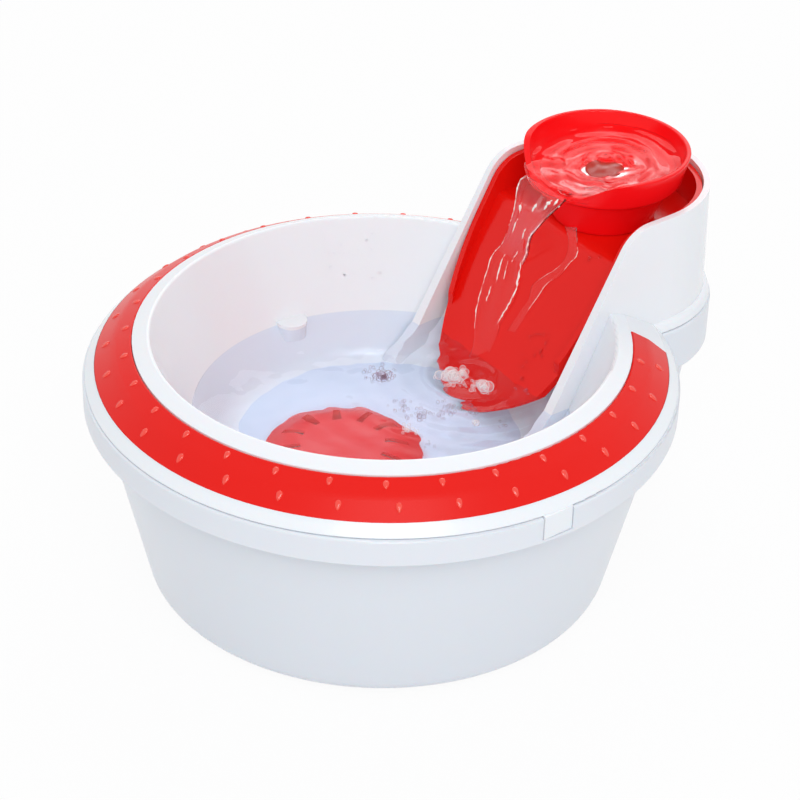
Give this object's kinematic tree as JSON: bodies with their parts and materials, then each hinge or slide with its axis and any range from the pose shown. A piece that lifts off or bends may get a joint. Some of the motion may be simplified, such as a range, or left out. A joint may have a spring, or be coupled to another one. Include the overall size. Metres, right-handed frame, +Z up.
{
  "type": "pet water fountain",
  "caption": "Round two-tier pet water fountain: tank, drinking bowl with soft rim ring, rear tower with pouring cup and chute, floor filter and submersible pump.",
  "frame": {"origin": "on the ground under the middle of the whole footprint; the bowl's upright axis is 22.7 mm towards -Y from it", "axes": "+Z up, +Y from the bowl towards the tower at the back, +X to the right seen from the front"},
  "size_m": [0.25, 0.2955, 0.164],
  "materials": {
    "white_shell": "smooth moulded plastic, faintly cool and a little translucent",
    "white_bowl": "smooth glossy moulded plastic, white",
    "clear_red": "glossy red plastic, slightly see-through",
    "soft_red": "soft-touch red rubber with small raised drops",
    "white_frame": "plain moulded plastic",
    "foam": "open-cell filter foam",
    "carbon": "felt pack over carbon grains",
    "pump_black": "black moulded plastic",
    "pump_grey": "grey moulded plastic",
    "ceramic": "polished ceramic rod",
    "ferrite": "dark sealed magnet",
    "impeller_white": "plain moulded plastic",
    "clear_rubber": "clear soft rubber",
    "grey_rubber": "grey rubber",
    "silicone": "milky silicone tube"
  },
  "bodies": {
    "tank": {"tank": "white_shell", "rubber_feet": "clear_rubber", "cord_grommet": "grey_rubber", "pump_housing": "pump_black", "impeller_plate": "pump_black", "front_bush": "grey_rubber", "rear_bush": "grey_rubber", "rotor_shaft": "ceramic", "suction_cups": "clear_rubber", "riser_tube": "silicone", "cord_gland": "grey_rubber"},
    "bowl": {"upper_bowl": "white_bowl", "rim_ring": "soft_red"},
    "chute": {"chute": "clear_red"},
    "cup": {"cup": "clear_red"},
    "filter_cover": {"filter_cover": "clear_red"},
    "cartridge": {"filter_frame": "white_frame", "filter_foam": "foam", "carbon_pack": "carbon"},
    "rotor": {"impeller": "impeller_white", "rotor_magnet": "ferrite"},
    "intake_cover": {"intake_cover": "pump_black"},
    "shutter": {"flow_shutter": "pump_grey"}
  },
  "joints": [
    {"name": "bowl_lift", "type": "slide", "parent": "tank", "child": "bowl", "axis": [0, 0, 1], "range_m": [0, 0.15]},
    {"name": "chute_lift", "type": "slide", "parent": "bowl", "child": "chute", "axis": [0, 0, 1], "range_m": [0, 0.12]},
    {"name": "cup_lift", "type": "slide", "parent": "chute", "child": "cup", "axis": [0, 0, 1], "range_m": [0, 0.05]},
    {"name": "cover_lift", "type": "slide", "parent": "bowl", "child": "filter_cover", "axis": [0, 0, 1], "range_m": [0, 0.08]},
    {"name": "cartridge_lift", "type": "slide", "parent": "bowl", "child": "cartridge", "axis": [0, 0, 1], "range_m": [0, 0.04]},
    {"name": "impeller_spin", "type": "hinge", "parent": "tank", "child": "rotor", "pos_m": [0, 0.0973, 0.0243], "axis": [0, 1, 0], "continuous": true},
    {"name": "intake_slide", "type": "slide", "parent": "tank", "child": "intake_cover", "axis": [0, -1, 0], "range_m": [0, 0.016]},
    {"name": "shutter_slide", "type": "slide", "parent": "intake_cover", "child": "shutter", "axis": [1, 0, 0], "range_m": [0, 0.006]}
  ],
  "couplings": [
    {"joint": "cartridge_lift", "follows": "cover_lift", "ratio": 0.5}
  ]
}
